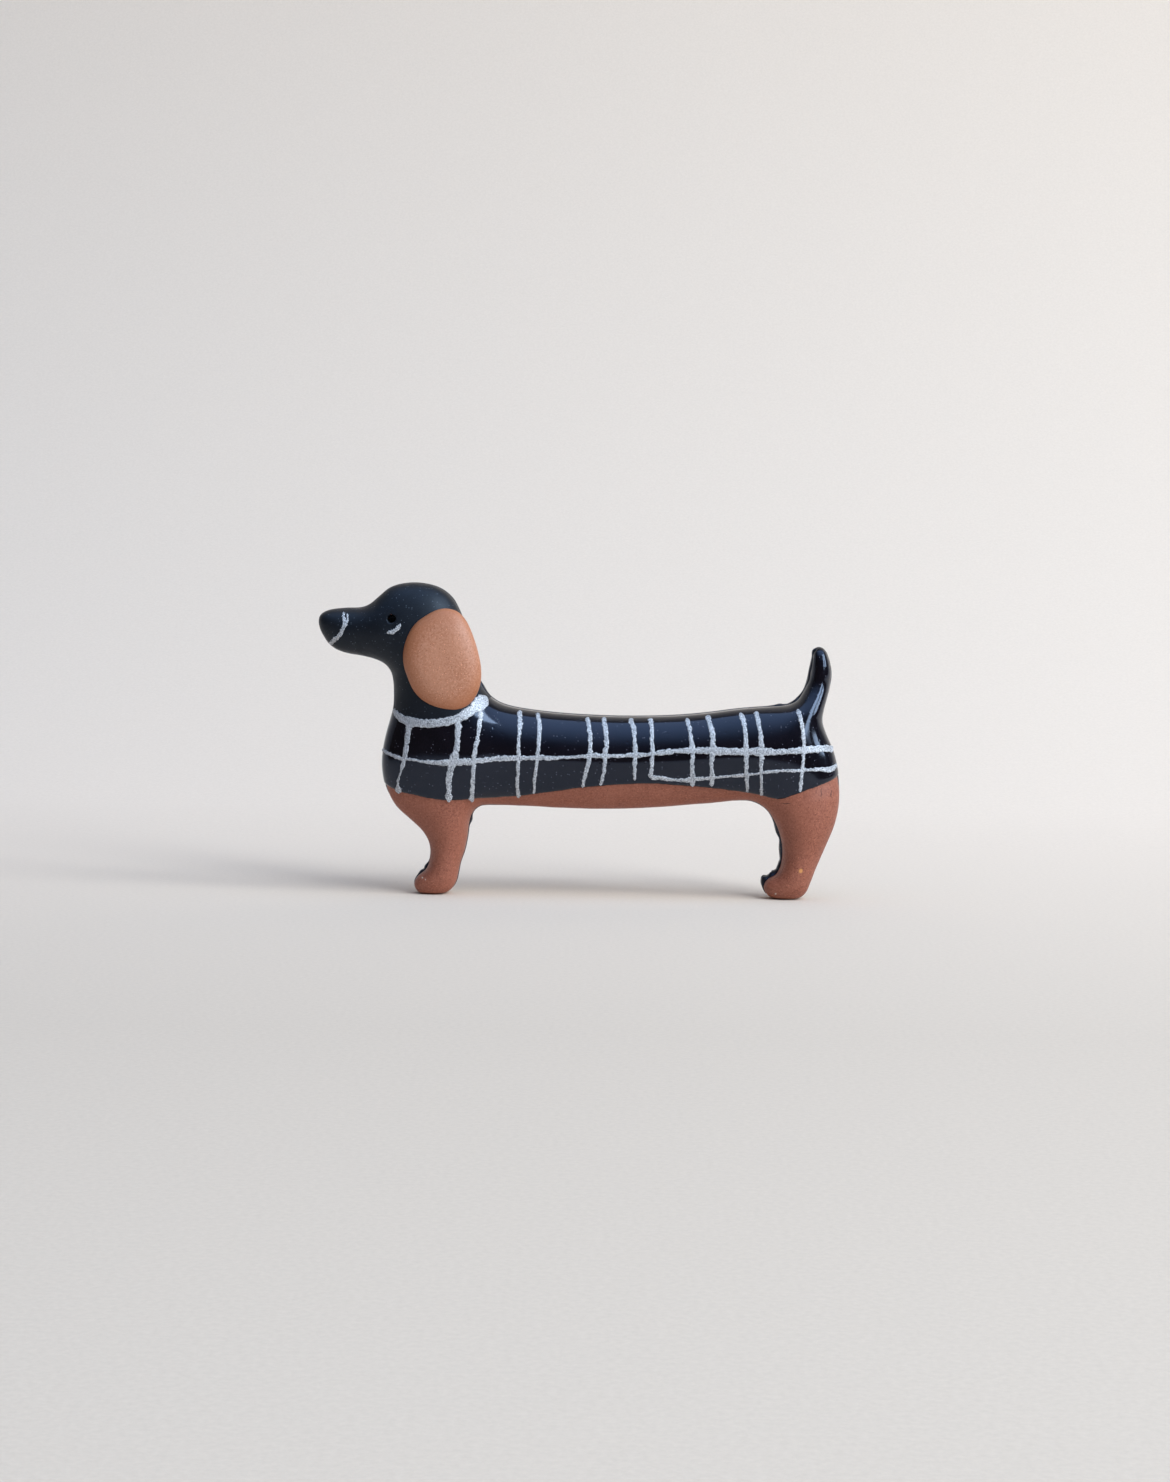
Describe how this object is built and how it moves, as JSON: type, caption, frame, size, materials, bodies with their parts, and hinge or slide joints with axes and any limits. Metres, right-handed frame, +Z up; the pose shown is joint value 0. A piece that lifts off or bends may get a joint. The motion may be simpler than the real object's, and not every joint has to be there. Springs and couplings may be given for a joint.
{
  "type": "dog figurine brooch",
  "caption": "Flat-backed ceramic dachshund brooch in relief: red clay body, black glazed coat with silver plaid, bare clay ear, and a hinged steel pin with a safety catch behind.",
  "frame": {"origin": "middle of the overall box at the soles' level", "axes": "+Z up, the dog looks along -X, its decorated front faces -Y and its flat back with the pin faces +Y"},
  "size_m": [0.0651, 0.0134, 0.0388],
  "materials": {
    "stoneware": "matte, finely speckled",
    "black_slip": "matte to satin",
    "black_glaze": "gloss",
    "back_glaze": "satin, rough edge",
    "terracotta": "matte, finely speckled",
    "silver_lustre": "matte metallic, brushed on",
    "adhesive": "satin",
    "pin_steel": "nickel plated"
  },
  "bodies": {
    "brooch": {"stoneware_body": "stoneware", "head_slip": "black_slip", "coat_glaze": "black_glaze", "back_slip": "back_glaze", "ear": "terracotta", "collar_lustre": "silver_lustre", "plaid_uprights": "silver_lustre", "plaid_bands": "silver_lustre", "muzzle_lustre": "silver_lustre", "cheek_lustre": "silver_lustre", "adhesive_pad": "adhesive", "pin_bar": "pin_steel", "hinge_rivet": "pin_steel", "catch_housing": "pin_steel"},
    "pin_stem": {"pin_stem": "pin_steel"},
    "catch_rotor": {"catch_rotor": "pin_steel"}
  },
  "joints": [
    {"name": "stem_hinge", "type": "hinge", "parent": "brooch", "child": "pin_stem", "pos_m": [-0.0123, 0.00441, 0.0174], "axis": [0, 0, 1], "range_deg": [0, 95]},
    {"name": "catch_turn", "type": "hinge", "parent": "brooch", "child": "catch_rotor", "pos_m": [0.0128, 0.00441, 0.0174], "axis": [-1, 0, 0], "range_deg": [0, 85]}
  ]
}
